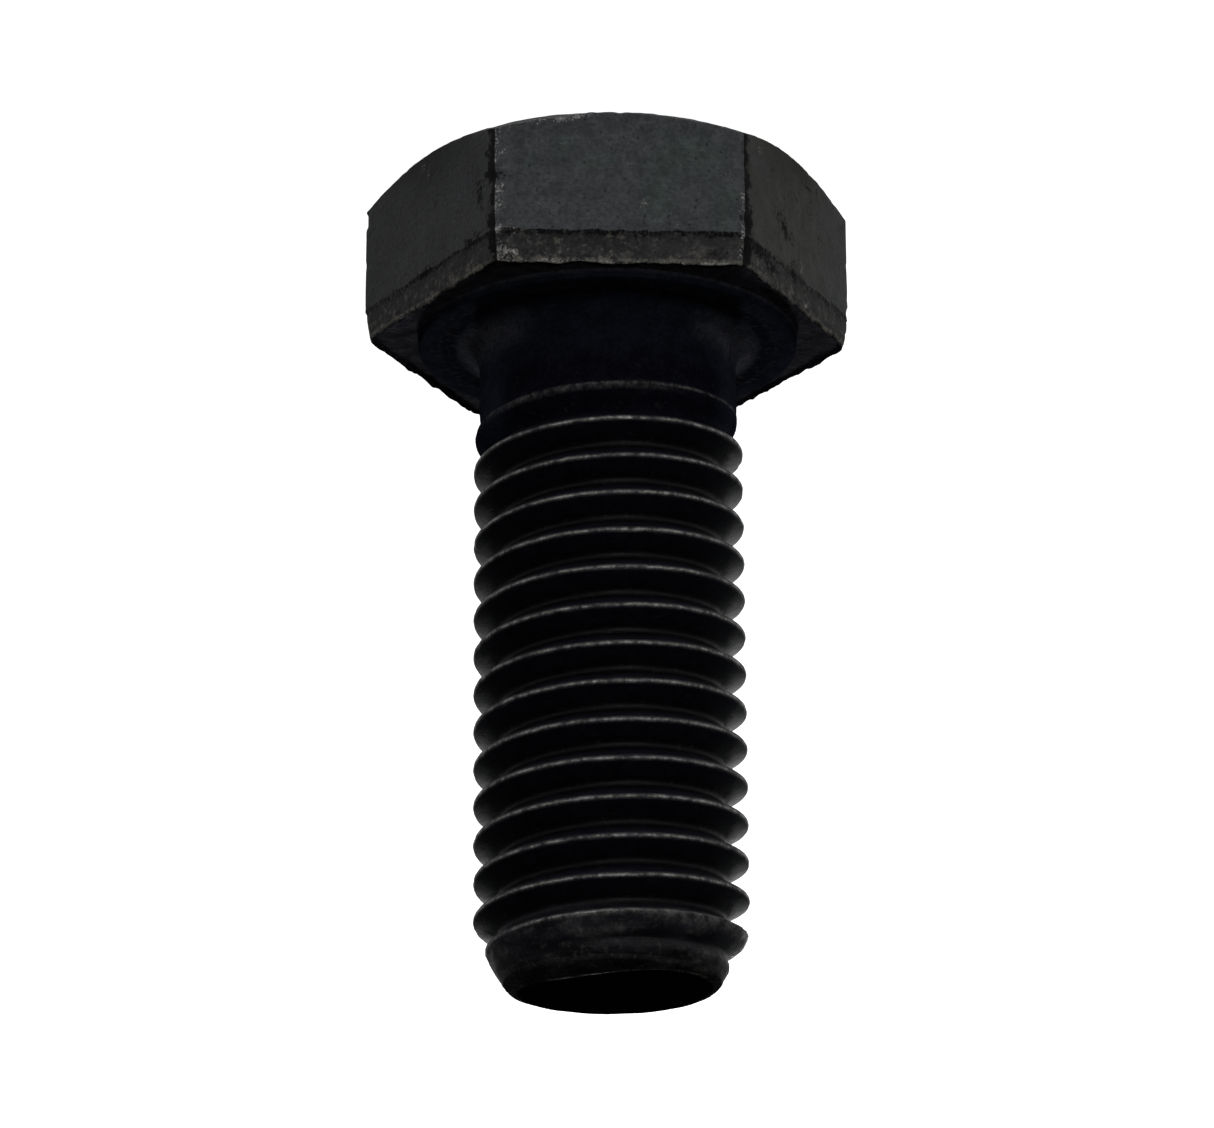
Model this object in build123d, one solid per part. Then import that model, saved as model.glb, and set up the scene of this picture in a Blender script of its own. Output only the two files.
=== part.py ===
from build123d import *
import os
from math import atan, cos, degrees, radians, sqrt, tan

# Hexagon head bolt M14 x 35, threaded up to the head: one forged and thread-rolled piece of steel.
# Millimetres. The origin is the centre of the bearing face under the head. +Z is the bolt's axis
# and points from the head to the tip, so the head is below the origin and the shank above it.

# Driving dimensions
BASIC_DIAMETER = 14.0
PITCH = 2.0
LENGTH = 34.7  # bearing face to tip: nominal 35, within the standard's 0.5 either way
ACROSS_FLATS = 22.0
HEAD_HEIGHT = 8.8  # bearing face to the head's top face
CREST_DIAMETER = 13.94  # a rolled coarse thread is a little under its basic diameter
NECK_DIAMETER = 13.35  # the plain stretch under the head

# Head
CORNER_RADIUS = 0.3
WASHER_FACE_DIAMETER = 19.8
WASHER_FACE_HEIGHT = 0.4
TOP_FACE_DIAMETER = 0.955 * ACROSS_FLATS
TOP_CHAMFER_ANGLE = 30.0  # measured from the head's top face

# Shank
FILLET_RADIUS = 1.2
SPLIT_HEIGHT = 2.4  # where the plain under-head piece and the threaded piece of the model meet
NECK_END = 3.9
CREST_START = 5.2  # the crests reach their full diameter here
TIP_FACE_DIAMETER = 10.4
TIP_CHAMFER_LENGTH = 3.1

# Thread groove, from the 60 degree metric profile
HALF_ANGLE = 30.0
SHARP_HEIGHT = PITCH * sqrt(3) / 2
APEX_RADIUS = BASIC_DIAMETER / 2 - 7 / 8 * SHARP_HEIGHT  # where a groove's two flanks would meet
ROOT_ARC_RADIUS = SHARP_HEIGHT / 6
ROOT_ARC_CENTRE = APEX_RADIUS + 2 * ROOT_ARC_RADIUS
ROOT_RADIUS = ROOT_ARC_CENTRE - ROOT_ARC_RADIUS
OVERCUT = 0.08  # the cutter stands this far out of the crests
FULL_DEPTH_START = 6.4  # the groove reaches its full depth at this height
START_ANGLE = 75.0  # and in this direction, about +Z from +X
RUN_OUT_TURNS = 1.25
RUN_OUT_CLEARANCE = 0.05  # the run-out starts this far out of the neck
TIP_OVERRUN = 1.0
SEAM_ANGLE = 240.0  # turns the core's seam line away from the grooves' end faces


def head():
    """Hexagon with softened corners, its top edge cut back by a 30 degree cone."""
    hexagon = RegularPolygon(ACROSS_FLATS / 2, 6, major_radius=False)
    outline = fillet(hexagon.vertices(), CORNER_RADIUS)
    prism = Pos(0, 0, -HEAD_HEIGHT) * extrude(outline, HEAD_HEIGHT - WASHER_FACE_HEIGHT)
    top_radius = TOP_FACE_DIAMETER / 2
    rise = (ACROSS_FLATS - top_radius) * tan(radians(TOP_CHAMFER_ANGLE))
    envelope = Polyline(
        (0, -HEAD_HEIGHT),
        (top_radius, -HEAD_HEIGHT),
        (ACROSS_FLATS, rise - HEAD_HEIGHT),
        (ACROSS_FLATS, rise),
        (0, rise),
        close=True,
    )
    return prism & revolve(Plane.XZ * make_face(envelope), Axis.Z)


def under_head():
    """Washer face, fillet and the first stretch of the plain neck."""
    neck_radius = NECK_DIAMETER / 2
    washer_radius = WASHER_FACE_DIAMETER / 2
    fillet_centre = (neck_radius + FILLET_RADIUS, FILLET_RADIUS)
    fillet_arc = CenterArc(fillet_centre, FILLET_RADIUS, 180, 90)
    outline = Polyline(
        (neck_radius + FILLET_RADIUS, 0),
        (washer_radius, 0),
        (washer_radius, -WASHER_FACE_HEIGHT),
        (0, -WASHER_FACE_HEIGHT),
        (0, SPLIT_HEIGHT),
        (neck_radius, SPLIT_HEIGHT),
        (neck_radius, FILLET_RADIUS),
    )
    return revolve(Plane.XZ * make_face([fillet_arc, outline]), Axis.Z)


def shank_envelope():
    """What the threaded shank is turned down to: neck, crest cylinder and chamfered tip."""
    neck_radius = NECK_DIAMETER / 2
    crest_radius = CREST_DIAMETER / 2
    outline = Polyline(
        (0, SPLIT_HEIGHT),
        (neck_radius, SPLIT_HEIGHT),
        (neck_radius, NECK_END),
        (crest_radius, CREST_START),
        (crest_radius, LENGTH - TIP_CHAMFER_LENGTH),
        (TIP_FACE_DIAMETER / 2, LENGTH),
        (0, LENGTH),
        close=True,
    )
    return revolve(Plane.XZ * make_face(outline), Axis.Z)


def groove_section(root_radius):
    """Cross-section of the thread groove, a rounded root and two flanks, with its root there."""
    shift = root_radius - ROOT_RADIUS
    tangent_radius = ROOT_ARC_CENTRE - ROOT_ARC_RADIUS / 2 + shift
    tangent_reach = ROOT_ARC_RADIUS * cos(radians(HALF_ANGLE))
    outer_radius = CREST_DIAMETER / 2 + OVERCUT
    outer_reach = (outer_radius - APEX_RADIUS) * tan(radians(HALF_ANGLE))
    root = ThreePointArc(
        (tangent_radius, -tangent_reach),
        (root_radius, 0),
        (tangent_radius, tangent_reach),
    )
    flanks = Polyline(
        (tangent_radius, tangent_reach),
        (outer_radius + shift, outer_reach),
        (outer_radius + shift, -outer_reach),
        (tangent_radius, -tangent_reach),
    )
    return Plane.XZ * make_face([root, flanks])


def full_groove():
    """Right-hand helical groove at full depth, from its start out past the tip."""
    path = Helix(PITCH, LENGTH + TIP_OVERRUN - FULL_DEPTH_START, ROOT_RADIUS)
    groove = sweep(groove_section(ROOT_RADIUS), path=path, is_frenet=True)
    return Pos(0, 0, FULL_DEPTH_START) * Rot(0, 0, START_ANGLE) * groove


def run_out_groove():
    """The same groove on a conical helix, coming up out of the steel towards the head."""
    first_radius = NECK_DIAMETER / 2 + RUN_OUT_CLEARANCE
    height = RUN_OUT_TURNS * PITCH
    slope = atan((first_radius - ROOT_RADIUS) / height)
    path = Helix(PITCH / cos(slope), height, first_radius, cone_angle=-degrees(slope))
    groove = sweep(groove_section(first_radius), path=path, is_frenet=True)
    turn = START_ANGLE - 360 * RUN_OUT_TURNS
    return Pos(0, 0, FULL_DEPTH_START - height) * Rot(0, 0, turn) * groove


def threaded_shank():
    """Core with the grooves cut into it, then turned down to the shank's envelope."""
    core = Cylinder(
        CREST_DIAMETER / 2,
        LENGTH + TIP_OVERRUN - SPLIT_HEIGHT,
        align=(Align.CENTER, Align.CENTER, Align.MIN),
    )
    core = Pos(0, 0, SPLIT_HEIGHT) * Rot(0, 0, SEAM_ANGLE) * core
    return (core - full_groove() - run_out_groove()) & shank_envelope()


os.makedirs("parts", exist_ok=True)
hex_bolt = head() + (under_head() + threaded_shank())
export_step(hex_bolt, "parts/hex_bolt.step")
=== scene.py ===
from itertools import product
from math import cos, degrees, pi, radians, sin, sqrt, tan

import bpy
import numpy as np
from mathutils import Matrix, Vector


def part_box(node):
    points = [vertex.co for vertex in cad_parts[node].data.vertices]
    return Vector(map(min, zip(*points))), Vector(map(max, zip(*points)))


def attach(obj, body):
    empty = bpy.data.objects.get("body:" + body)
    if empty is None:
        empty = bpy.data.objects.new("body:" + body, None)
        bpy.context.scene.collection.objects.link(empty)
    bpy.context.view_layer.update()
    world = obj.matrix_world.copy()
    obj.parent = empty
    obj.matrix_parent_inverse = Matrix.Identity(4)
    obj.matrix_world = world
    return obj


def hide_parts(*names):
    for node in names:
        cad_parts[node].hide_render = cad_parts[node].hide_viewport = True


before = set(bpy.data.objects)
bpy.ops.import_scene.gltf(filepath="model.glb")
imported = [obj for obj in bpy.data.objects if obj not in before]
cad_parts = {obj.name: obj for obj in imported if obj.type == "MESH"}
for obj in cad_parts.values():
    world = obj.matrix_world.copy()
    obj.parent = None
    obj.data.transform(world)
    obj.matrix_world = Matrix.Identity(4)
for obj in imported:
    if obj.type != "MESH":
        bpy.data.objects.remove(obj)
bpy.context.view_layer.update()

# A black oxide hexagon bolt that stands on its head. Its skin is one closed mesh, worked out in
# millimetres in the frame of the CAD solid: the origin is the centre of the bearing face under
# the head, and +Z points along the shank to the tip.
MM = 0.001
NODE = "hex_bolt"
LOW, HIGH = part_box(NODE)

# Head
ACROSS_FLATS = (HIGH[1] - LOW[1]) / MM
HEAD_HEIGHT = -LOW[2] / MM
LENGTH = HIGH[2] / MM
CORNER_RADIUS = 0.3
SIDE_HALF = (ACROSS_FLATS / 2 - CORNER_RADIUS) * tan(pi / 6)  # flat part of a side
CORNER_REACH = ACROSS_FLATS / 2 / cos(pi / 6) - 0.05  # from the axis to a rounded corner
UNDERSIDE = -0.45
WASHER_RADIUS = 9.87
WASHER_ROUND = 0.14  # radius of the washer face's edge
TOP_RADIUS = 0.955 * ACROSS_FLATS / 2
TOP_SLOPE = radians(30)
TOP_ROUND = 0.12  # width of the soft edge between top face and chamfer
RIM_WEAR = 0.1  # how far the edge between chamfer and flat is worn off
TRIM = -1.95  # height of the line where the trimming tool began
TRIM_DEPTH = 0.09
FIRST_CUT = 0.07  # how much the trimmed band takes off a corner at its upper end
CORNER_CUT = 0.27  # the same at its lower end
FLASH = 0.2  # height of the flash that the tool left along the lower edge

# Shank: M14 x 2, so pitch, pitch diameter and flanks are the standard's
FILLET_RADIUS = 1.2
NECK_RADIUS = 6.675
NECK_END = 3.9
SOOTY_END = 5.9  # the oxide has no gloss up to here
PITCH = 2.0
CREST_RADIUS = 6.97
PITCH_RADIUS = 12.701 / 2
SHARP_HEIGHT = PITCH * sqrt(3) / 2
CREST_APEX = PITCH_RADIUS + SHARP_HEIGHT / 2
CREST_ARC = CREST_APEX - CREST_RADIUS
ROOT_ARC = SHARP_HEIGHT / 6
ROOT_RADIUS = PITCH_RADIUS - SHARP_HEIGHT / 2 + ROOT_ARC
FULL_DEPTH_START = 6.4
START_ANGLE = radians(75)
TIP_CHAMFER = 3.1
CHAMFER_START = LENGTH - TIP_CHAMFER
TIP_RADIUS = 5.2
TIP_EDGE = 34.2  # the chamfer ends here and the rounded end begins
TIP_FLAT = 3.3  # radius of the end's flat middle
END_DISH = 0.07  # the end's middle lies this much lower
END_SOIL = 0.7  # how much dirt lies on the end

# Mesh density
SIDES = 6
SIDE_STEPS = 62  # columns along one side of the hexagon
CORNER_STEPS = 7  # columns round one corner
SHANK_COLUMNS = 256
SEAM_RADIUS = 9.2  # the shank's columns begin here, on the bearing face
ROWS_START = 2.6  # the thread's rows begin here, and are level
ROWS_TURNED = 5.2  # from here on they follow the helix
ROWS_LEVEL = 31.4  # from here on they level out again
BEVEL_ROWS = 7  # rows of a column from the chamfer to the sheared end's line

# Zones of the skin, kept for each vertex
TOP, CONE, RIM, FLAT, STEP, BAND, LIP, GUTTER, UNDER, WASHER, NECK, THREAD, BEVEL, END = range(14)

# The three sides that the camera sees, by their direction in degrees about +Z from +X. Left and
# right are those of its picture, which has the head up.
FRONT, LEFT, RIGHT = 270, 330, 210


def smooth(low, high, x):
    """0 at low, 1 at high, with an easy slope between."""
    t = np.clip((np.asarray(x, float) - low) / (high - low), 0.0, 1.0)
    return t * t * (3 - 2 * t)


def lumps(points, cell, seed):
    """Smooth noise from -1 to 1, one lump in each cell of that size, always the same."""
    points = np.asarray(points, float)
    q = points.reshape(-1, 3) / np.asarray(cell, float)
    base = np.floor(q).astype(np.int64)
    part = q - base
    part = part * part * (3 - 2 * part)
    total = np.zeros(len(q))
    for corner in product((0, 1), repeat=3):
        c = base + np.array(corner)
        h = (c[:, 0] * 73856093) ^ (c[:, 1] * 19349663) ^ (c[:, 2] * 83492791)
        h = (h ^ (seed * 2654435761)) & 0xFFFFFFFF
        h = ((h ^ (h >> 15)) * 2246822519) & 0xFFFFFFFF
        h = ((h ^ (h >> 13)) * 3266489917) & 0xFFFFFFFF
        h = h ^ (h >> 16)
        weight = np.prod(np.where(corner, part, 1 - part), axis=1)
        total += weight * ((h & 0xFFFF) / 32767.5 - 1)
    return total.reshape(points.shape[:-1])


def arc(centre, radius, first, last, steps):
    """Points of an arc in the (radius, height) plane, angles in degrees from outwards."""
    turns = np.radians(np.linspace(first, last, steps))
    return [(centre[0] + radius * cos(t), centre[1] + radius * sin(t)) for t in turns]


def near(along, height, place, reach):
    """A soft round spot on a flat: 1 at its middle, fading over its reach."""
    far = ((along - place[0]) / reach[0])**2 + ((height - place[1]) / reach[1])**2
    return np.exp(-far)


def soft_min(first, second, soft):
    """The smaller of two values, with the corner between them rounded."""
    return 0.5 * (first + second - np.sqrt((first - second)**2 + soft**2))


class Skin:
    """A grid of points, and each one's zone, side of the head and place along that side.

    Radius, angle and height are those of the new surface, before it is dented.
    """

    def __init__(self, points, zone, side, along):
        self.points = points
        self.zone = zone
        self.side = side
        self.along = along
        self.radius = np.hypot(points[..., 0], points[..., 1])
        self.angle = np.arctan2(points[..., 1], points[..., 0])
        self.height = points[..., 2].copy()

    def within(self, *zones):
        """True where a point's zone is one of these."""
        return np.isin(self.zone, zones)

    def push(self, out):
        """Moves the points outwards from the axis."""
        self.points[..., :2] *= (1 + out / self.radius)[..., None]


# ---------------------------------------------------------------- head

def hexagon():
    """The head's outline seen along the axis: points, side's direction, place along the side."""
    half = ACROSS_FLATS / 2
    corner_centre = (half - CORNER_RADIUS) / cos(pi / SIDES)
    # denser towards the corners
    spread = np.linspace(-1, 1, SIDE_STEPS + 1)
    spread = spread * (1 - 0.22 * (1 - spread**2))
    points, direction, along = [], [], []
    for side in range(SIDES):
        turn = side * 2 * pi / SIDES
        normal = turn + pi / SIDES
        for t in np.linspace(-pi / SIDES, pi / SIDES, CORNER_STEPS + 1)[:-1]:
            a = turn + t
            points.append((corner_centre * cos(turn) + CORNER_RADIUS * cos(a),
                           corner_centre * sin(turn) + CORNER_RADIUS * sin(a)))
            before = t < 0
            direction.append(degrees(normal) - 60 * before)
            along.append((1 if before else -1) * (SIDE_HALF + CORNER_RADIUS * (pi / 6 - abs(t))))
        for t in spread[:-1]:
            step = t * SIDE_HALF
            points.append((half * cos(normal) - step * sin(normal),
                           half * sin(normal) + step * cos(normal)))
            direction.append(degrees(normal))
            along.append(step)
    return np.array(points), np.round(direction) % 360, np.array(along)


def head_rows():
    """The rows of a column: zone, and two numbers that place it within the zone."""
    rows = [(TOP, r, 0) for r in (2.5, 5.0, 7.5, 9.2, 10.1)]
    rows += [(TOP, TOP_RADIUS - TOP_ROUND, 0), (CONE, 0.0, 0)]
    rows += [(CONE, t, 0) for t in (0.15, 0.4, 0.7, 1.0)]
    rows += [(RIM, radians(a), 0) for a in (38, 62, 82)]
    rows += [(FLAT, t, 0) for t in (0.0, 0.012, 0.03)]
    rows += [(FLAT, t, 0) for t in np.linspace(0.065, 0.97, 24)]
    rows += [(FLAT, 0.992, 0), (STEP, 0, 0), (STEP, 1, 0)]
    rows += [(BAND, t, 0) for t in np.linspace(0.07, 1, 9)]
    rows += [(LIP, 0.02, 0.6), (LIP, 0.07, 0.92), (GUTTER, 0.13, 1.0), (GUTTER, 0.19, 0.8)]
    rows += [(GUTTER, 0.27, 0.0)]
    rows += [(UNDER, t, 0) for t in (0.12, 0.4, 0.7, 0.95, 1.0)]
    rows += [(WASHER, radians(a), 0) for a in (-20, 10, 40, 65, 90)]
    rows += [(WASHER, radians(90), 0.35)]
    return rows


def gap_to_corner(along):
    """Distance along a side to its nearer corner."""
    return SIDE_HALF + CORNER_RADIUS * pi / 6 - np.abs(along)


def trimming(outline, direction, gap):
    """For each column: height of the trimming line, depth of the cut, height of the flash."""
    edge = np.column_stack([outline, np.zeros(len(outline))])
    line = TRIM + 0.06 * lumps(edge, 0.7, 11) + 0.06 * lumps(edge, 0.3, 12)
    depth = TRIM_DEPTH * (0.25 + 0.75 * smooth(0.1, 1.0, gap))
    depth *= np.where(direction == FRONT, 1.0, 0.5)
    flash = FLASH * (0.75 + 0.5 * lumps(edge, 0.8, 13) + 0.3 * lumps(edge, 0.3, 14))
    flash = np.clip(flash, 0.03, 0.36) * (0.3 + 0.7 * smooth(0.0, 0.8, gap))
    return line, depth, flash


def rim_height(reach):
    """Height at which a flat ends below the top chamfer, at this distance from the axis."""
    return -HEAD_HEIGHT + (reach - TOP_RADIUS) * tan(TOP_SLOPE) + 0.6 * RIM_WEAR


def top_row(part, t, reach):
    """Radius and height of a row of the top face, of its chamfer or of the worn rim."""
    if part == TOP:
        return t, -HEAD_HEIGHT
    if part == CONE:
        start = TOP_RADIUS + TOP_ROUND
        radius = start + (reach - RIM_WEAR - start) * t
        return radius, -HEAD_HEIGHT + (radius - TOP_RADIUS) * tan(TOP_SLOPE)
    return reach - RIM_WEAR * (1 - sin(t)), rim_height(reach) - RIM_WEAR * cos(t)


def band_radius(trimmed, off_corner, t):
    """The trimmed band cuts each corner off, and more so towards its lower end at t = 1."""
    cut = FIRST_CUT + (CORNER_CUT - FIRST_CUT) * t**1.5
    return soft_min(trimmed, (CORNER_REACH - cut) / np.cos(off_corner), 0.06)


def head_grid():
    """Points of the head, and the zone, side and place along the side of each of them."""
    outline, direction, along = hexagon()
    reach = np.hypot(outline[:, 0], outline[:, 1])
    trim, depth, flash = trimming(outline, direction, gap_to_corner(along))
    band_start = trim + 0.1
    off_corner = (np.arctan2(outline[:, 1], outline[:, 0]) + pi / 6) % (pi / 3) - pi / 6
    rows = head_rows()
    radius = np.zeros((len(reach), len(rows)))
    height = np.zeros_like(radius)
    for i, (part, a, b) in enumerate(rows):
        if part in (TOP, CONE, RIM):
            place = top_row(part, a, reach)
        elif part == FLAT:
            top = rim_height(reach)
            place = reach, top + (trim - 0.08 - top) * a
        elif part == STEP:
            place = reach - depth * a, trim - 0.06 + 0.16 * a
        elif part == BAND:
            low = band_start + (UNDERSIDE - band_start) * a
            place = band_radius(reach - depth, off_corner, a), low
        elif part in (LIP, GUTTER):
            place = band_radius(reach - depth, off_corner, 1.0) - a, UNDERSIDE + flash * b
        elif part == UNDER:
            start = reach - 0.5
            place = start + (WASHER_RADIUS - start) * a, UNDERSIDE
        else:
            place = WASHER_RADIUS - WASHER_ROUND * (1 - cos(a)) - b, -WASHER_ROUND * (1 - sin(a))
        radius[:, i], height[:, i] = place
    unit = outline / reach[:, None]
    points = np.stack([radius * unit[:, None, 0], radius * unit[:, None, 1], height], axis=-1)
    zone = np.tile([part for part, _, _ in rows], (len(reach), 1))
    side = np.repeat(direction[:, None], len(rows), axis=1)
    place = np.repeat(along[:, None], len(rows), axis=1)
    return points, zone, side, place


# Bright chips: side, place along it and height, then reach, in millimetres
CHIPS = (
    (FRONT, (1.5, -4.7), (0.12, 0.2)),
    (FRONT, (-1.2, -3.5), (0.3, 0.3)),
    (FRONT, (1.1, -2.25), (0.2, 0.2)),
    (FRONT, (-2.9, -2.3), (0.2, 0.2)),
    (FRONT, (-1.8, -2.6), (0.15, 0.2)),
    (FRONT, (5.8, -6.3), (0.2, 0.25)),
    (FRONT, (2.9, -8.1), (0.4, 0.15)),
    (FRONT, (2.2, -8.3), (0.3, 0.12)),
    (FRONT, (6.35, -7.1), (0.2, 0.6)),
    (FRONT, (6.3, -5.9), (0.15, 0.3)),
    (FRONT, (6.1, -4.3), (0.3, 0.3)),
    (FRONT, (6.2, -3.3), (0.25, 0.25)),
    (FRONT, (6.2, -2.0), (0.3, 0.25)),
    (FRONT, (5.4, -2.0), (0.15, 0.3)),
    (FRONT, (6.2, -0.8), (0.3, 0.25)),
    (FRONT, (5.4, -0.8), (0.3, 0.25)),
    (FRONT, (-6.3, -4.0), (0.15, 0.2)),
    (FRONT, (-6.3, -3.4), (0.15, 0.25)),
    (FRONT, (-6.25, -2.0), (0.25, 0.35)),
    (FRONT, (-6.05, -2.7), (0.12, 0.4)),
    (FRONT, (-6.1, -0.95), (0.25, 0.25)),
    (LEFT, (0.5, -7.9), (0.3, 0.3)),
    (LEFT, (-0.1, -7.3), (0.2, 0.3)),
    (RIGHT, (4.5, -7.3), (0.4, 0.3)),
    (RIGHT, (-0.3, -2.6), (0.2, 0.6)),
    (RIGHT, (-1.0, -0.8), (0.4, 0.2)),
)

# Dark scabs and smudges, given in the same way
SCABS = (
    (FRONT, (6.2, -4.9), (0.6, 0.4)),
    (LEFT, (-6.3, -4.9), (0.6, 0.35)),
    (FRONT, (-5.1, -0.8), (0.7, 0.35)),
    (RIGHT, (6.1, -2.5), (0.8, 0.5)),
    (RIGHT, (6.1, -1.2), (0.6, 0.4)),
    (FRONT, (-6.2, -2.9), (0.3, 0.25)),
    (LEFT, (-4.2, -2.2), (1.0, 0.35)),
    (LEFT, (0.2, -2.1), (1.2, 0.3)),
    (LEFT, (-5.0, -4.5), (0.5, 1.4)),
    (RIGHT, (2.4, -4.5), (0.5, 0.3)),
    (RIGHT, (1.8, -4.1), (0.5, 0.3)),
    (RIGHT, (1.2, -3.7), (0.5, 0.3)),
    (RIGHT, (4.8, -1.6), (1.0, 0.4)),
    (RIGHT, (3.2, -1.2), (0.9, 0.4)),
    (RIGHT, (0.6, -2.2), (0.4, 0.6)),
)


def spots(marks, side, along, height):
    """All soft spots of a list together, 0 to 1."""
    total = sum((side == mark[0]) * near(along, height, mark[1], mark[2]) for mark in marks)
    return np.clip(total, 0, 1)


def dent_head(head, chips, scabs):
    """Waves and pits on the flats, a rough band, broken corners and a nick in the top edge."""
    points = head.points
    flat = head.within(FLAT, RIM)
    band = head.within(BAND, STEP, LIP)
    corner = (flat | band) * smooth(0.6, 0.15, gap_to_corner(head.along))
    out = flat * (0.012 * lumps(points, 2.4, 21) + 0.007 * lumps(points, 0.6, 22))
    out -= flat * 0.03 * smooth(0.5, 0.9, lumps(points, 0.5, 23))
    out += band * (0.035 * lumps(points, (0.4, 0.4, 0.7), 24) + 0.02 * lumps(points, 0.24, 25))
    out -= 0.1 * corner * smooth(0.15, 0.75, lumps(points, (0.6, 0.6, 0.45), 26))
    out -= 0.16 * corner * scabs
    out += flat * 0.03 * chips * (1 - corner)
    nick = (head.side == FRONT) * near(head.along, head.height, (-0.07, -8.55), (0.22, 0.35))
    out -= head.within(CONE, RIM, FLAT) * 0.14 * nick
    lift = head.within(RIM, CONE) * 0.03 * lumps(points, 0.35, 27)
    lift += head.within(UNDER) * 0.02 * lumps(points, 0.8, 28)
    head.push(out)
    points[..., 2] += lift


def head_wear(head, chips, scabs):
    """Bare steel: at corners, along the lower edge and the rim, in chips; most in front."""
    height, along = head.height, head.along
    front = head.side == FRONT
    gap = gap_to_corner(along)
    sides = head.within(FLAT, RIM, BAND, STEP, LIP)
    patchy = smooth(-0.5, 0.6, lumps(head.points, 0.9, 31)) * (0.8 + 0.2 * front * np.sign(along))
    wear = sides * smooth(0.6, 0.15, gap) * np.where(front, 0.22, 0.1)
    strip = front * (along > 0) * smooth(1.6, 0.9, gap) * smooth(-5.4, -4.6, height)
    wear += sides * 0.17 * strip
    low = head.within(BAND, STEP, LIP) * smooth(TRIM + 0.5, UNDERSIDE, height)
    wear += low * patchy * np.where(front, 0.55, 0.3)
    wear += head.within(LIP) * np.where(front, 0.5 + 0.5 * patchy, 0.1 + 0.3 * patchy)
    wear += sides * 0.62 * chips
    below_top = height + HEAD_HEIGHT - (head.radius - TOP_RADIUS) * tan(TOP_SLOPE)
    top_edge = head.within(RIM) + head.within(FLAT) * smooth(0.4, 0.15, below_top)
    wear += top_edge * np.where(front & (along > 0), 0.5, 0.2) * patchy
    return wear * (1 - scabs) * np.where(front, 1.0, smooth(0.1, 0.8, gap))


def head_soil_and_shade(head, scabs):
    """Painted shade beside the front flat's corners, and a painted shadow along the trimming step
    and on the band below it; darker on the rim and in the gutter behind the flash; dark scabs, and
    dark smudges on the right flat.
    """
    height, along = head.height, head.along
    band = head.within(BAND, STEP, LIP)
    flat = head.within(FLAT, RIM)
    right = head.side == RIGHT
    # painted shade: a dark ragged strip on the left and right flats beside their corners with the
    # front flat
    beside = (head.side == LEFT) * (along < 0) + right * (along > 0)
    ragged = gap_to_corner(along) + 0.45 * lumps(head.points, 0.4, 33)
    corner = beside * smooth(0.75, 0.2, ragged) * smooth(-8.2, -7.4, height)
    # painted shadow: a dark line along the trimming step, strongest on the front flat
    trim_shadow = smooth(0.24, 0.05, np.abs(height - TRIM)) * np.where(head.side == FRONT, 0.38, 0.06)
    soil_and_shade = (flat | band) * (1.1 * corner + trim_shadow + 0.6 * scabs)
    # painted shadow on the band just below the trimming step
    soil_and_shade += 0.3 * band * smooth(TRIM + 0.9, TRIM + 0.1, height)
    soil_and_shade += 0.32 * right * flat * smooth(0.1, 0.7, lumps(head.points, (0.4, 0.4, 0.7), 32))
    return soil_and_shade + 0.2 * head.within(RIM) + 0.6 * head.within(GUTTER)


def head_raw(head):
    """Coarse skin: on the band, coarser low down and towards the front flat's +X end."""
    low = smooth(TRIM + 0.5, UNDERSIDE, head.height)
    rougher = np.where(head.side == FRONT, smooth(-4.0, 2.0, head.along), 0.5)
    raw = head.within(BAND, STEP, LIP) * (0.25 + 0.4 * low + 0.35 * rougher)
    return raw + 0.5 * head.within(CONE) + 0.15 * head.within(UNDER)


def work_head(head):
    """Dents the head and says where steel, coarse skin, dirt and painted shade show, 0 to 1."""
    chips = spots(CHIPS, head.side, head.along, head.height)
    scabs = spots(SCABS, head.side, head.along, head.height)
    dent_head(head, chips, scabs)
    return {
        "wear": head_wear(head, chips, scabs),
        "raw": head_raw(head),
        "soil_and_shade": head_soil_and_shade(head, scabs),
        "rub": np.zeros(head.zone.shape),
    }


# ---------------------------------------------------------------- shank

def groove_depth(offset):
    """Depth under the crest circle at this distance along the axis from a crest's middle."""
    a = np.abs((offset + PITCH / 2) % PITCH - PITCH / 2)
    b = PITCH / 2 - a
    crest = CREST_RADIUS - CREST_ARC + np.sqrt(np.clip(CREST_ARC**2 - a**2, 0, None))
    root = ROOT_RADIUS + ROOT_ARC - np.sqrt(np.clip(ROOT_ARC**2 - b**2, 0, None))
    flank = CREST_APEX - a / tan(pi / 6)
    radius = np.where(a < CREST_ARC * cos(pi / 6), crest, flank)
    radius = np.where(b < ROOT_ARC * cos(pi / 6), root, radius)
    return CREST_RADIUS - radius


def crest_height(angle):
    """Height of one crest's middle where the helix passes this angle."""
    return FULL_DEPTH_START + PITCH / 2 + PITCH * (angle - START_ANGLE) / (2 * pi)


def past_crest(angle, height):
    """Distance along the axis from the nearest crest's middle, towards the tip if positive."""
    return (height - crest_height(angle) + PITCH / 2) % PITCH - PITCH / 2


def tip_cone(height):
    """Radius of the tip's chamfer at this height."""
    return TIP_RADIUS + (LENGTH - height) * (CREST_RADIUS - TIP_RADIUS) / TIP_CHAMFER


def shank_radius(angle, height):
    """Radius of neck, run-out, thread and tip chamfer, before wear."""
    envelope = NECK_RADIUS + (CREST_RADIUS - NECK_RADIUS) * smooth(NECK_END, 5.6, height)
    deep = smooth(NECK_END - 0.2, FULL_DEPTH_START + 0.2, height)
    radius = envelope - deep * groove_depth(height - crest_height(angle))
    return soft_min(radius, tip_cone(height), 0.06)


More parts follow.
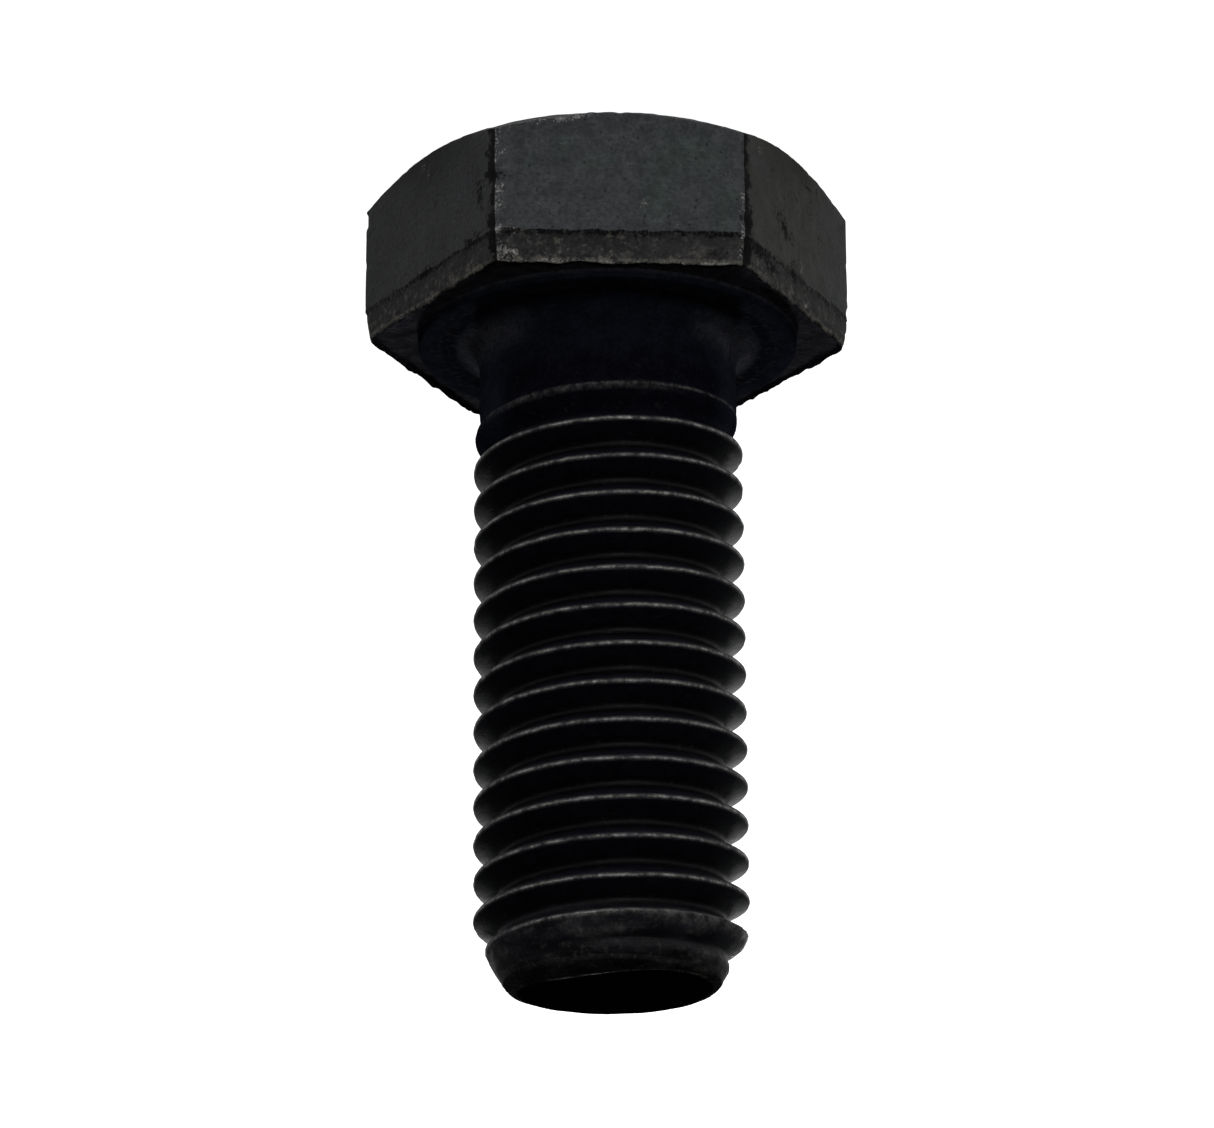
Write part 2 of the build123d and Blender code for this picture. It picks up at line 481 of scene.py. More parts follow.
def thread_offsets():
    """Where a pitch's rows lie, from one crest's middle to the next."""
    crest = [CREST_ARC * sin(radians(a)) for a in (0, 22, 43)] + [CREST_ARC * cos(pi / 6)]
    root = [ROOT_ARC * sin(radians(a)) for a in (0, 30)] + [ROOT_ARC * cos(pi / 6)]
    flank_start = crest[-1]
    flank_end = PITCH / 2 - root[-1]
    flank = [(flank_start + flank_end) / 2]
    half = crest + flank + [PITCH / 2 - r for r in reversed(root)]
    return half + [PITCH - a for a in reversed(half[1:-1])]


def shear_end(angle):
    """Radius of the line where the sheared end face begins, wider on one side of the bevel."""
    turn = (degrees(angle) + 60 + 180) % 360 - 180
    return 5.1 - 1.35 * float(np.exp(-(turn / 55)**2))


def tip_end(angle):
    """Radii and heights of a column over the tip's rounded end, from the chamfer to the middle."""
    edge = tip_cone(TIP_EDGE)
    start = edge - 0.16
    line = shear_end(angle)
    radii = [start + (line - start) * t for t in (0, 0.3, 0.6, 0.85, 1.0)]
    radii += [line - 0.07, line - 0.2, line - 0.8, 1.6]
    rows = [(edge - 0.02, TIP_EDGE - 0.04), (edge - 0.07, TIP_EDGE + 0.06)]
    for r in radii:
        rise = sin(min((start - r) / (start - TIP_FLAT), 1.0) * pi / 2)
        step = 0.02 * (r < line)
        rows.append((r, TIP_EDGE + 0.14 + (LENGTH - TIP_EDGE - 0.14) * rise - step))
    return rows


def thread_heights():
    """Heights of the thread's rows at half a turn, from the neck to the rounded end."""
    middle = crest_height(pi)
    first = middle - PITCH * round((middle - NECK_END) / PITCH)
    heights = np.array([first + PITCH * turn + a
                        for turn in range(-1, 18) for a in thread_offsets()])
    return heights[(heights > ROWS_START) & (heights < TIP_EDGE - 0.1)]


def shank_grid():
    """Points and zones of the shank's columns, and the rows between which they follow the helix.

    A sheared row's last point is a pitch higher than its first one.
    """
    angles = np.arange(SHANK_COLUMNS) * 2 * pi / SHANK_COLUMNS
    heights = thread_heights()
    washer = [(r, 0.0) for r in np.linspace(SEAM_RADIUS, 8.0, 9)]
    fillet = arc((NECK_RADIUS + FILLET_RADIUS, FILLET_RADIUS), FILLET_RADIUS, 270, 180, 9)
    neck = fillet + [(NECK_RADIUS, 1.6), (NECK_RADIUS, 2.1)]
    shear = smooth(ROWS_START, ROWS_TURNED, heights)
    shear *= 1 - smooth(ROWS_LEVEL, TIP_EDGE - 0.2, heights)
    columns = []
    for angle in angles:
        z = heights + PITCH * shear * (angle / (2 * pi) - 0.5)
        thread = list(zip(shank_radius(angle, z), z))
        columns.append(washer + neck + thread + tip_end(angle))
    rz = np.array(columns)
    points = np.stack([rz[:, :, 0] * np.cos(angles)[:, None],
                       rz[:, :, 0] * np.sin(angles)[:, None],
                       rz[:, :, 1]], axis=-1)
    row_zone = [WASHER] * len(washer) + [NECK] * len(neck) + [THREAD] * len(heights)
    row_zone += [BEVEL] * BEVEL_ROWS + [END] * (len(tip_end(0)) - BEVEL_ROWS)
    zone = np.tile(row_zone, (SHANK_COLUMNS, 1))
    # the neck's skin reaches a little way into the run-out
    zone[(zone == THREAD) & (points[:, :, 2] < NECK_END + 1.0)] = NECK
    start = len(washer) + len(neck)
    return points, zone, start, start + len(heights)


def thread_marks(shank):
    """Where a point lies on a crest, on the chamfer, and on the burr where it cut a crest."""
    radius, height = shank.radius, shank.height
    thread = shank.within(THREAD)
    cone = tip_cone(height)
    chamfer = thread * smooth(0.16, 0.05, cone - radius)
    chamfer *= smooth(CHAMFER_START - 0.4, CHAMFER_START + 0.1, height)
    crest = thread * smooth(0.13, 0.02, CREST_RADIUS - radius) * (1 - chamfer)
    beyond = past_crest(shank.angle, height)
    cut = CREST_RADIUS - groove_depth(beyond) - cone
    burr = thread * smooth(0.25, 0.05, beyond) * smooth(0.5, 0.2, cut) * smooth(-0.12, -0.02, cut)
    burr *= smooth(CHAMFER_START - 0.4, CHAMFER_START, height)
    burr *= smooth(CHAMFER_START + 1.4, CHAMFER_START + 0.8, height)
    burr *= 0.5 + 0.5 * smooth(-1.5, 0.5, shank.points[..., 0])
    return crest, chamfer, burr


def dent_shank(shank, crest, chamfer, burr):
    """Nicked crests, turning marks on neck and flanks, a rough chamfer with a burr on its edge."""
    points, height = shank.points, shank.height
    turned = np.stack([shank.radius, height, shank.angle * 0.4], axis=-1)
    plain = shank.within(NECK) * smooth(4.9, 4.1, height)
    rough = chamfer + shank.within(BEVEL) * smooth(LENGTH, LENGTH - 0.2, height)
    out = crest * (0.008 * lumps(points, 0.3, 42) - 0.04 * smooth(0.2, 0.8, lumps(points, 0.7, 41)))
    out += plain * 0.02 * lumps(turned, (0.25, 0.25, 0.6), 43)
    out += rough * (0.05 * lumps(points, (0.9, 0.9, 0.4), 44) + 0.025 * lumps(points, 0.3, 45))
    out += shank.within(THREAD) * (1 - crest) * 0.008 * lumps(turned, (0.12, 0.12, 0.5), 46)
    out += burr * (0.03 + 0.06 * lumps(points, 0.7, 49))
    shank.push(out)
    points[..., 2] += crest * 0.02 * lumps(points, 0.9, 47) - 0.06 * burr


def shank_rub(shank, chamfer, burr):
    """Rubbed steel: along the crests, the run-out, the burr, patches of the chamfer, the end."""
    radius, height = shank.radius, shank.height
    line = np.array([shear_end(a) for a in shank.angle[:, -2]])[:, None]
    seam = shank.within(BEVEL, END) * smooth(0.2, 0.0, np.abs(radius - line))
    seam *= smooth(-1.5, -3.5, shank.points[..., 1])
    trace = smooth(0.12, 0.03, np.abs(past_crest(shank.angle, height)))
    trace *= smooth(3.8, 4.3, height) * smooth(5.8, 5.3, height)
    patches = smooth(0.1, 0.7, lumps(shank.points, (1.2, 1.2, 0.4), 48))
    rub = crest_top(shank) * (1 - chamfer) + burr + 0.055 * seam + 0.26 * trace
    return rub + 0.15 * chamfer * patches


def crest_top(shank):
    """1 on the outermost line of each crest, from the run-out on."""
    top = smooth(0.025, 0.0, CREST_RADIUS - shank.radius)
    return shank.within(THREAD) * top * smooth(4.6, 5.4, shank.height)


def work_shank(shank):
    """Dents the shank and says where steel, coarse skin and dirt show, 0 to 1."""
    crest, chamfer, burr = thread_marks(shank)
    dent_shank(shank, crest, chamfer, burr)
    bright_burr = burr * smooth(-1.0, 0.5, shank.points[..., 0])
    return {
        "wear": 0.35 * crest_top(shank) + 0.08 * chamfer + 0.45 * bright_burr,
        "raw": 0.2 * chamfer + 0.3 * shank.within(BEVEL) + 0.2 * shank.within(WASHER),
        "soil_and_shade": END_SOIL * shank.within(END),
        "rub": shank_rub(shank, chamfer, burr),
    }


# ---------------------------------------------------------------- colour of the oxide

# Linear colours, from the flats of the head to the thread
# GREY and TEAL, the front flat's colours, are about twice as light as SLATE and OLIVE on the side
# flats: painted light on the front flat.
GREY = (0.050, 0.052, 0.055)
TEAL = (0.046, 0.057, 0.055)
OLIVE = (0.021, 0.0215, 0.0175)
SLATE = (0.025, 0.026, 0.028)
EARTH = (0.027, 0.0265, 0.026)
UMBER = (0.036, 0.037, 0.045)
# painted highlight on the fillet's sides
FILLET_HIGHLIGHT = (0.0468, 0.0481, 0.0585)
CREAM = (0.15, 0.143, 0.122)
SOOT = (0.012, 0.014, 0.021)
INK = (0.0040, 0.0042, 0.0070)

# Where the front flat turns green: place along the side and height, then reach, in millimetres
GREEN_SPOTS = (
    ((2.9, -6.7), (0.7, 0.6)),
    ((1.3, -5.8), (1.3, 0.5)),
    ((-3.4, -6.3), (2.1, 1.2)),
    ((-2.0, -3.7), (1.1, 1.5)),
    ((-5.2, -3.3), (0.8, 1.5)),
    ((4.5, -5.7), (0.3, 0.5)),
)


def blend(first, second, amount):
    """Mixes two colours, with an amount for each point."""
    return first + (np.asarray(second) - first) * np.clip(amount, 0, 1)[..., None]


def paint(colour, where, second):
    """The second colour where the mask is true, the first elsewhere."""
    return np.where(where[..., None], second, colour)


def flat_colour(skin, wide, fine):
    """The oxide took differently on each flat: teal patches in front, olive on the right. The front
    flat is also painted about twice as light as the side flats, as painted light on the front flat.
    """
    points, side, along = skin.points, skin.side, skin.along
    base = np.zeros(points.shape) + GREY
    green = sum(near(along, points[..., 2], place, reach) for place, reach in GREEN_SPOTS)
    green = smooth(0.25, 0.75, green + 0.3 * fine + 0.1 * wide)
    olive = smooth(-7.5, -1.0, along) + 0.5 * lumps(points, (0.9, 0.9, 1.3), 63)
    mauve = base + 0.8 * (np.array(SLATE) - base)
    far = ~np.isin(side, (FRONT, LEFT, RIGHT))
    # painted light: the front flat keeps the lighter GREY and TEAL, and the side flats get the
    # darker SLATE and OLIVE
    colour = paint(base, side == FRONT, blend(base, TEAL, green))
    colour = paint(colour, side == LEFT, blend(base, SLATE, 0.9 + 0.2 * wide))
    colour = paint(colour, side == RIGHT, blend(mauve, OLIVE, olive))
    return paint(colour, far, blend(blend(base, SLATE, 0.5 + 0.6 * wide), TEAL, 0.5 * fine))


def band_colour(skin, colour, fine):
    """The trimmed band is earthy, paler low down, and its lower edge crumbles to cream."""
    height = skin.points[..., 2]
    paler = 0.6 + 0.65 * smooth(TRIM + 0.2, UNDERSIDE - 0.2, height)
    earthy = blend(colour * 0.7, np.array(EARTH) * paler[..., None], 0.75 + 0.3 * fine)
    colour = paint(colour, skin.within(BAND, STEP, LIP), earthy)
    rough = 0.55 + 0.5 * lumps(skin.points, 0.8, 66) - 0.15 * (skin.side == RIGHT)
    crumbly = skin.within(LIP) | (skin.within(BAND) & (height > UNDERSIDE - 0.1))
    return paint(colour, crumbly, blend(colour, CREAM, rough))


def dark_colour(skin, colour, wide, fine):
    """The underside and shank: inky, with soot round the neck, a painted sheen on the sides of the
    neck and run-out, and a painted highlight on the sides of the fillet.
    """
    radius = np.hypot(skin.points[..., 0], skin.points[..., 1])
    height = skin.points[..., 2]
    black = np.zeros(3)
    colour = paint(colour, skin.within(GUTTER, UNDER), blend(black, UMBER, 0.9 + 0.3 * fine))
    dark = skin.within(WASHER, NECK, THREAD, BEVEL, END)
    colour = paint(colour, dark, blend(black, INK, smooth(5.5, 6.5, radius)))
    rings = np.stack([radius, radius, np.zeros_like(radius)], axis=-1)
    turned = 0.75 + 0.6 * lumps(rings, 0.22, 65) + 0.2 * fine
    near_bearing = skin.within(WASHER, NECK) * smooth(0.9, 0.2, height)
    colour = blend(colour, SOOT, near_bearing * turned)
    sideways = np.abs(skin.points[..., 0]) / radius
    soot_and_sheen = 0.35 * smooth(3.4, 1.6, height)
    # painted sheen: the neck and run-out are lighter on their two sides along X
    soot_and_sheen += 0.9 * smooth(0.75, 0.95, sideways) * smooth(SOOTY_END + 0.3, SOOTY_END - 0.3, height)
    colour = blend(colour, SOOT, soot_and_sheen * skin.within(NECK, THREAD))
    # painted highlight: the fillet is paler on its two sides along X
    fillet = skin.within(WASHER, NECK) * smooth(8.1, 7.2, radius) * smooth(1.9, 0.5, height)
    return blend(colour, FILLET_HIGHLIGHT, fillet * smooth(0.5, 0.9, sideways) * (0.9 + 0.3 * wide))


def tip_colour(skin, colour):
    """Umber and earthy patches on the tip's chamfer and its sheared bevel."""
    radius = np.hypot(skin.points[..., 0], skin.points[..., 1])
    patches = 0.7 + 0.6 * lumps(skin.points, (1.0, 1.0, 0.4), 64)
    tip = smooth(CHAMFER_START - 0.3, CHAMFER_START + 0.2, skin.points[..., 2])
    tip *= skin.within(THREAD) * smooth(6.7, 6.4, radius)
    colour = blend(colour, UMBER, 0.28 * tip * patches)
    return blend(colour, EARTH, skin.within(BEVEL) * patches)


def oxide_colour(skin):
    """Base colour of every point of a dented skin."""
    wide = lumps(skin.points, 1.6, 61)
    fine = lumps(skin.points, 0.5, 62)
    colour = flat_colour(skin, wide, fine)
    colour = band_colour(skin, colour, fine)
    colour = dark_colour(skin, colour, wide, fine)
    return tip_colour(skin, colour)


# ---------------------------------------------------------------- mesh

def zip_chains(left, left_key, right, right_key):
    """Triangles between two rows of vertices whose keys rise, stepping on the nearer side."""
    faces = []
    i = j = 0
    while i < len(left) - 1 or j < len(right) - 1:
        step_left = j == len(right) - 1 or (
            i < len(left) - 1 and left_key[i + 1] + left_key[i] <= right_key[j + 1] + right_key[j])
        if step_left:
            faces.append((left[i], right[j], left[i + 1]))
            i += 1
        else:
            faces.append((left[i], right[j], right[j + 1]))
            j += 1
    return faces


def quads(ids, columns, rows):
    """Faces between neighbouring columns over a run of rows."""
    return [(ids[a, i], ids[b, i], ids[b, i + 1], ids[a, i + 1])
            for a, b in columns for i in rows]


def store(mesh, name, kind, values):
    """A named attribute with a value for each vertex."""
    attribute = mesh.attributes.new(name, kind, "POINT")
    field = "color" if kind == "FLOAT_COLOR" else "value"
    attribute.data.foreach_set(field, np.ascontiguousarray(values, np.float32).ravel())


def joined(head, shank, poles):
    """Values of all vertices: the head's grid, the shank's grid, then the two poles."""
    each = head.shape[2:]
    return np.concatenate([head.reshape(-1, *each), shank.reshape(-1, *each), poles])


def bearing_faces(head, head_ids, shank_ids):
    """The ring on the bearing face, between the head's last row and the shank's first one."""
    head_edge = np.append(head_ids[:, -1], head_ids[0, -1])
    shank_edge = np.append(shank_ids[:, 0], shank_ids[0, 0])
    head_angle = np.unwrap(head.angle[:, -1])
    head_angle = np.append(head_angle, head_angle[0] + 2 * pi)
    shank_angle = np.linspace(0, 2 * pi, len(shank_ids) + 1)
    faces = zip_chains(head_edge, head_angle, shank_edge, shank_angle)
    return [tuple(reversed(face)) for face in faces]


def shank_faces(shank, ids, thread_start, thread_end):
    """The shank's faces. Where its rows follow the helix, the seam steps up by one pitch."""
    inner = [(a, a + 1) for a in range(len(ids) - 1)]
    seam = [(len(ids) - 1, 0)]
    last_row = ids.shape[1] - 1
    faces = quads(ids, inner, range(last_row))
    faces += quads(ids, seam, range(thread_start - 1))
    faces += quads(ids, seam, range(thread_end, last_row))
    rows = slice(thread_start - 1, thread_end + 1)
    faces += zip_chains(ids[-1, rows], shank.height[-1, rows], ids[0, rows], shank.height[0, rows])
    return faces


def bolt_faces(head, shank, thread_start, thread_end):
    """All faces of the closed skin, with a fan at each end of the axis."""
    head_ids = np.arange(head.zone.size).reshape(head.zone.shape)
    shank_ids = head.zone.size + np.arange(shank.zone.size).reshape(shank.zone.shape)
    top_pole = head.zone.size + shank.zone.size
    tip_pole = top_pole + 1
    head_ring = [(a, (a + 1) % len(head_ids)) for a in range(len(head_ids))]
    shank_ring = [(a, (a + 1) % len(shank_ids)) for a in range(len(shank_ids))]
    faces = quads(head_ids, head_ring, range(head_ids.shape[1] - 1))
    faces += [(top_pole, head_ids[b, 0], head_ids[a, 0]) for a, b in head_ring]
    faces += bearing_faces(head, head_ids, shank_ids)
    faces += shank_faces(shank, shank_ids, thread_start, thread_end)
    faces += [(shank_ids[a, -1], shank_ids[b, -1], tip_pole) for a, b in shank_ring]
    return [tuple(int(i) for i in face) for face in faces]


def is_sooty(zone, height):
    """The oxide has no gloss under the head, on the neck and run-out and at the sheared end."""
    sooty = np.isin(zone, (LIP, GUTTER, UNDER, WASHER, NECK, BEVEL, END))
    return sooty | ((zone == THREAD) & (height < SOOTY_END))


def build_bolt():
    """The closed skin, with its wear and colour kept on the vertices."""
    head = Skin(*head_grid())
    shank_points, shank_zone, thread_start, thread_end = shank_grid()
    nowhere = np.zeros(shank_zone.shape)
    shank = Skin(shank_points, shank_zone, nowhere, nowhere)
    faces = bolt_faces(head, shank, thread_start, thread_end)
    head_values = work_head(head)
    shank_values = work_shank(shank)
    points = joined(head.points, shank.points, [(0, 0, -HEAD_HEIGHT), (0, 0, LENGTH - END_DISH)])
    zones = joined(head.zone, shank.zone, [TOP, END])
    colour = joined(oxide_colour(head), oxide_colour(shank), [GREY, INK])

    mesh = bpy.data.meshes.new("bolt_skin")
    mesh.from_pydata([tuple(p) for p in points * MM], [], faces)
    mesh.shade_smooth()
    sooty = is_sooty(zones, points[:, 2])
    mesh.polygons.foreach_set("material_index", [int(sooty[face[0]]) for face in faces])
    for name, tip_value in (("wear", 0), ("raw", 0), ("soil_and_shade", END_SOIL), ("rub", 0)):
        values = joined(head_values[name], shank_values[name], [0, tip_value])
        store(mesh, name, "FLOAT", np.clip(values, 0, 1))
    store(mesh, "oxide", "FLOAT_COLOR", np.hstack([colour, np.ones((len(colour), 1))]))
    bolt = bpy.data.objects.new("bolt_skin", mesh)
    bpy.context.collection.objects.link(bolt)
    return bolt


bolt = build_bolt()
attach(bolt, "root")
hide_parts(NODE)


# ---------------------------------------------------------------- materials

class Nodes:
    """Short calls for a material's node tree."""

    def __init__(self, material):
        self.tree = material.node_tree

    def add(self, kind, **settings):
        node = self.tree.nodes.new(kind)
        for name, value in settings.items():
            setattr(node, name, value)
        return node

    def set(self, socket, value):
        if isinstance(value, bpy.types.NodeSocket):
            self.tree.links.new(value, socket)
        else:
            socket.default_value = value

    def math(self, operation, a, b=0.0, clamp=False):
        node = self.add("ShaderNodeMath", operation=operation, use_clamp=clamp)
        self.set(node.inputs[0], a)
        self.set(node.inputs[1], b)
        return node.outputs[0]

    def ramp(self, value, low, high, first=0.0, last=1.0):
        """Maps low..high of a value onto first..last, held beyond them."""
        node = self.add("ShaderNodeMapRange", interpolation_type="SMOOTHSTEP")
        for socket, number in zip(node.inputs, (value, low, high, first, last)):
            self.set(socket, number)
        return node.outputs[0]

    def split(self, vector):
        node = self.add("ShaderNodeSeparateXYZ")
        self.set(node.inputs[0], vector)
        return node.outputs

    def stretch(self, place, factors):
        node = self.add("ShaderNodeVectorMath", operation="MULTIPLY")
        self.set(node.inputs[0], place)
        node.inputs[1].default_value = factors
        return node.outputs[0]

    def noise(self, place, lumps_per_mm, detail=2.0, rough=0.5):
        node = self.add("ShaderNodeTexNoise")
        self.set(node.inputs["Vector"], place)
        node.inputs["Scale"].default_value = lumps_per_mm
        node.inputs["Detail"].default_value = detail
        node.inputs["Roughness"].default_value = rough
        return node.outputs["Fac"]

    def mix(self, amount, first, second, kind="MIX"):
        node = self.add("ShaderNodeMix", data_type="RGBA", blend_type=kind)
        self.set(node.inputs[0], amount)
        self.set(node.inputs[6], first)
        self.set(node.inputs[7], second)
        return node.outputs[2]

    def attribute(self, name, output="Fac"):
        return self.add("ShaderNodeAttribute", attribute_name=name).outputs[output]


# Linear colours of the marks on the oxide
PORE = (0.010, 0.010, 0.012, 1)
HOLLOW = (0.006, 0.006, 0.008, 1)
CRUMB = (0.17, 0.155, 0.125, 1)
# near black, for soil and painted shade
DIRT_AND_SHADE = (0.003, 0.003, 0.004, 1)
STEEL = (0.42, 0.41, 0.39, 1)
WHITE = (1, 1, 1, 1)


def new_material(name):
    """A material, its node tree and its shader."""
    material = bpy.data.materials.new(name)
    material.use_nodes = True
    return material, Nodes(material), material.node_tree.nodes["Principled BSDF"]


def mottled(n, mm, grain, mottle):
    """The oxide's own colour with grain, pores and faint streaks across the axis."""
    fine = n.ramp(grain, 0.3, 0.7, 0.75, 1.25)
    shade = n.math("MULTIPLY", fine, n.ramp(mottle, 0.3, 0.7, 0.8, 1.2))
    colour = n.mix(1.0, n.attribute("oxide", "Color"), shade, "MULTIPLY")
    pores = n.ramp(n.noise(mm, 3.0, 3.0, 0.6), 0.61, 0.67)
    colour = n.mix(n.math("MULTIPLY", pores, 0.75), colour, PORE)
    streaks = n.noise(n.stretch(mm, (1.0, 1.0, 6.0)), 1.5, 3.0)
    return n.mix(1.0, colour, n.ramp(streaks, 0.58, 0.7, 1.0, 1.3), "MULTIPLY")


def coarse(n, mm, colour, raw):
    """Dark hollows and pale crumbs where the skin is raw."""
    rubble = n.noise(mm, 2.7, 4.0, 0.7)
    hollows = n.math("MULTIPLY", n.ramp(rubble, 0.5, 0.42), n.math("MULTIPLY", raw, 0.75))
    colour = n.mix(hollows, colour, HOLLOW)
    crumbs = n.math("MULTIPLY", n.ramp(rubble, 0.55, 0.63), n.math("MULTIPLY", raw, 0.6))
    return n.mix(crumbs, colour, CRUMB)


def soil_and_shade_mask(n, mm):
    """Where soil and painted shade cover the skin, with a broken edge."""
    broken = n.ramp(n.noise(mm, 5.0, 3.0, 0.7), 0.3, 0.7, 0.35, -0.35)
    return n.ramp(n.math("ADD", n.attribute("soil_and_shade"), broken), 0.35, 0.75)


def bare_steel(n, mm, grain):
    """How much steel shows: flecks where the skin is worn, a patchy sheen where it is rubbed."""
    patches = n.ramp(n.noise(mm, 1.8, 3.0, 0.6), 0.3, 0.7, 0.2, 1.8)
    rubbed = n.math("MULTIPLY", n.attribute("rub"), patches)
    rubbed = n.math("MULTIPLY", rubbed, n.ramp(grain, 0.35, 0.65, 0.6, 1.3))
    flecks = n.ramp(n.noise(mm, 8.0, 2.0, 0.6), 0.3, 0.7, -0.45, 0.45)
    worn = n.ramp(n.math("ADD", n.attribute("wear"), flecks), 0.6, 0.85)
    worn = n.math("MULTIPLY", worn, n.ramp(grain, 0.4, 0.65, 0.25, 0.65))
    return n.math("MAXIMUM", worn, n.math("MULTIPLY", rubbed, 0.35))


def relief(n, mm, grain, raw):
    """Fine bumps: grain, deeper where the skin is raw, and scratches across the axis."""
    scratch = n.noise(n.stretch(mm, (1.0, 1.0, 7.0)), 1.6, 3.0)
    uneven = n.math("MULTIPLY", grain, n.ramp(raw, 0.0, 1.0, 0.6, 1.6))
    bump = n.add("ShaderNodeBump")
    bump.inputs["Distance"].default_value = 0.06 * MM
    bump.inputs["Strength"].default_value = 0.6
    n.set(bump.inputs["Height"], n.math("ADD", uneven, n.math("MULTIPLY", scratch, 0.5)))
    return bump.outputs["Normal"]


def black_oxide(name, gloss):
    """Black oxide on steel: mottled colour, speckled raw zones, bare steel where it is worn.

    The noises are measured in lumps to a millimetre.
    """
    material, n, shader = new_material(name)
    mm = n.stretch(n.add("ShaderNodeTexCoord").outputs["Object"], (1 / MM, 1 / MM, 1 / MM))
    raw = n.attribute("raw")
    grain = n.noise(mm, 5.5, 3.0, 0.6)
    mottle = n.noise(mm, 1.1, 3.0)
    soiled_and_shaded = soil_and_shade_mask(n, mm)
    bare = bare_steel(n, mm, grain)
    colour = coarse(n, mm, mottled(n, mm, grain, mottle), raw)
    # soil and painted shade darken the colour towards near black
    colour = n.mix(n.math("MULTIPLY", soiled_and_shaded, 0.9), colour, DIRT_AND_SHADE)
    dull = n.math("ADD", n.ramp(mottle, 0.3, 0.7, 0.42, 0.54), n.math("MULTIPLY", raw, 0.22))
    dull = n.math("ADD", dull, n.math("MULTIPLY", soiled_and_shaded, 0.4), clamp=True)
    n.set(shader.inputs["Base Color"], n.mix(bare, colour, STEEL))
    n.set(shader.inputs["Metallic"], bare)
    n.set(shader.inputs["Roughness"], n.math("SUBTRACT", dull, n.math("MULTIPLY", bare, 0.3)))
    shader.inputs["IOR"].default_value = 1.22
    shader.inputs["Specular IOR Level"].default_value = gloss
    n.set(shader.inputs["Normal"], relief(n, mm, grain, raw))
    return material


# in the order of the faces' material index: 1 where is_sooty says so, otherwise 0
bolt.data.materials.append(black_oxide("black_oxide", 0.5))
bolt.data.materials.append(black_oxide("sooty_oxide", 0.0))


# ---------------------------------------------------------------- stage, light and camera

# Brightness of the floor in front of the bolt and behind it, and of the sky, as the bolt sees
# them. The picture's left is at +X.
FLOOR_FRONT = 0.62
FLOOR_BACK = 0.31
FLOOR_LEFT_BACK = 0.22
HORIZON = 0.2
ZENITH = 0.006


def pale_floor():
    """A white floor that the camera sees as pure white and the bolt as a softer light."""
    half, z = 4.0, LOW[2]
    corners = [(-half, -half, z), (half, -half, z), (half, half, z), (-half, half, z)]
    mesh = bpy.data.meshes.new("floor")
    mesh.from_pydata(corners, [], [(0, 1, 2, 3)])
    floor = bpy.data.objects.new("floor", mesh)
    bpy.context.collection.objects.link(floor)
    material, n, shader = new_material("floor")
    shader.inputs["Base Color"].default_value = (0.8, 0.8, 0.8, 1)
    shader.inputs["Roughness"].default_value = 0.9
    shader.inputs["Emission Color"].default_value = WHITE
    x, y, _ = n.split(n.add("ShaderNodeTexCoord").outputs["Object"])
    back = n.ramp(x, -0.02, 0.02, FLOOR_BACK, FLOOR_LEFT_BACK)
    change = n.math("SUBTRACT", back, FLOOR_FRONT)
    change = n.math("MULTIPLY", n.ramp(y, -0.015, -0.004), change)
    glow = n.math("ADD", FLOOR_FRONT, change)
    seen = n.add("ShaderNodeLightPath").outputs["Is Camera Ray"]
    n.set(shader.inputs["Emission Strength"], n.math("MAXIMUM", glow, seen))
    mesh.materials.append(material)


def studio():
    """Pale to the camera. To the bolt it is a pale horizon at the back under a dark sky."""
    world = bpy.data.worlds.new("studio")
    bpy.context.scene.world = world
    world.use_nodes = True
    n = Nodes(world)
    tree = world.node_tree
    background = tree.nodes["Background"]
    background.inputs["Color"].default_value = (0.95, 1.0, 1.0, 1)
    x, y, z = n.split(n.add("ShaderNodeTexCoord").outputs["Generated"])
    glow = n.ramp(z, 0.0, 0.5, HORIZON, ZENITH)
    glow = n.math("MULTIPLY", glow, n.ramp(y, -0.3, 0.9, 0.3, 1.0))
    n.set(background.inputs["Strength"], n.math("MULTIPLY", glow, n.ramp(x, -0.4, 0.4, 1.0, 0.9)))
    seen = n.add("ShaderNodeBackground")
    seen.inputs["Color"].default_value = WHITE
    mix = n.add("ShaderNodeMixShader")
    n.set(mix.inputs[0], n.add("ShaderNodeLightPath").outputs["Is Camera Ray"])
    n.set(mix.inputs[1], background.outputs[0])
    n.set(mix.inputs[2], seen.outputs[0])
    n.set(tree.nodes["World Output"].inputs["Surface"], mix.outputs[0])


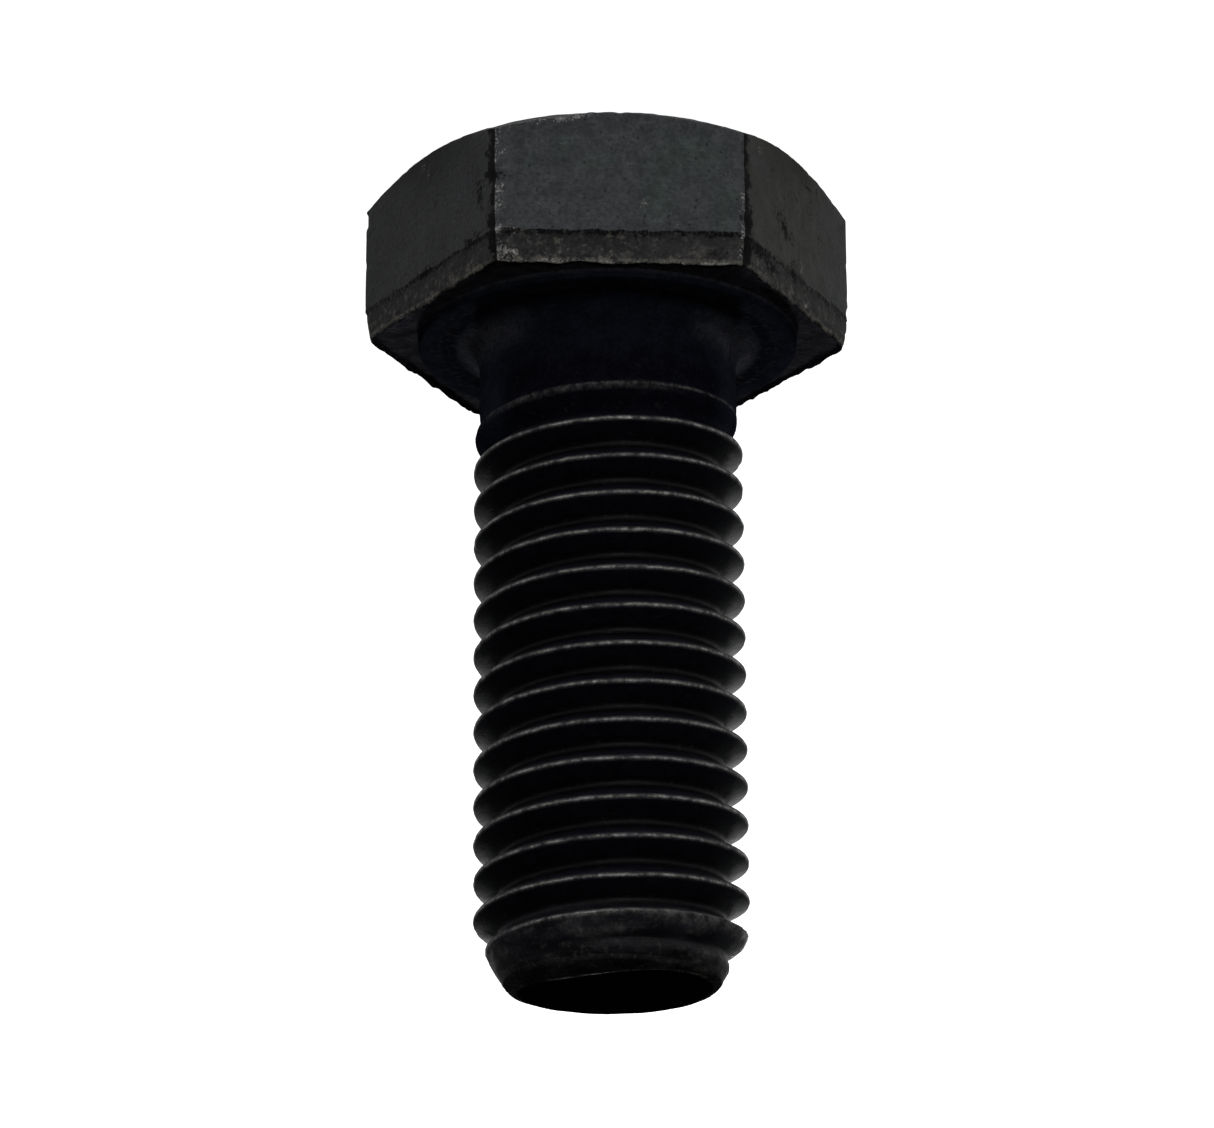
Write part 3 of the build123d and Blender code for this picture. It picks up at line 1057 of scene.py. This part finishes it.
def soft_light(name, azimuth, elevation, distance, size, watts):
    """A soft box that looks at the bolt, azimuth 0 in front and 90 on the +X side."""
    a, e = radians(azimuth), radians(elevation)
    aim = Vector((0, 0, 0.012))
    place = aim + distance * Vector((sin(a) * cos(e), -cos(a) * cos(e), sin(e)))
    data = bpy.data.lights.new(name, "AREA")
    data.shape = "RECTANGLE"
    data.size, data.size_y = size
    data.energy = watts
    lamp = bpy.data.objects.new(name, data)
    lamp.visible_camera = False
    bpy.context.collection.objects.link(lamp)
    lamp.location = place
    lamp.rotation_euler = (aim - place).to_track_quat("-Z", "Y").to_euler()


# Lengths in millimetres, and the focal length in widths of the picture
CAMERA_DISTANCE = 264.0
CAMERA_AZIMUTH = radians(3.531)
CAMERA_ELEVATION = radians(19.682)
CAMERA_ROLL = radians(-0.394)
AIM_SIDE = 0.1053
AIM_HEIGHT = 11.875
FOCAL_IN_WIDTHS = 4.227


def camera():
    """A long lens that looks down a little at the tip, turned over so that the head is up."""
    data = bpy.data.cameras.new("camera")
    data.sensor_width = 36.0
    data.lens = FOCAL_IN_WIDTHS * data.sensor_width
    data.clip_start = 0.01
    data.clip_end = 10.0
    cam = bpy.data.objects.new("camera", data)
    bpy.context.collection.objects.link(cam)
    back = Vector((0, -cos(CAMERA_ELEVATION), sin(CAMERA_ELEVATION)))
    aim = Vector((AIM_SIDE, 0, AIM_HEIGHT))
    place = aim + back * CAMERA_DISTANCE
    right = Vector((-1, 0, 0))
    up = back.cross(right)
    roll = Matrix.Rotation(CAMERA_ROLL, 3, back)
    basis = roll @ Matrix((right, up, back)).transposed()
    turned = Matrix.Rotation(CAMERA_AZIMUTH, 4, "Z")
    cam.matrix_world = turned @ Matrix.LocRotScale(place * MM, basis.to_quaternion(), None)
    bpy.context.scene.camera = cam


bpy.context.scene.view_settings.view_transform = "Standard"
pale_floor()
studio()
soft_light("front", -12, 12, 0.4, (0.22, 0.05), 0.3)
soft_light("behind", 183.2, 9, 0.4, (0.03, 0.1), 1.4)  # skims the thread's sides
camera()
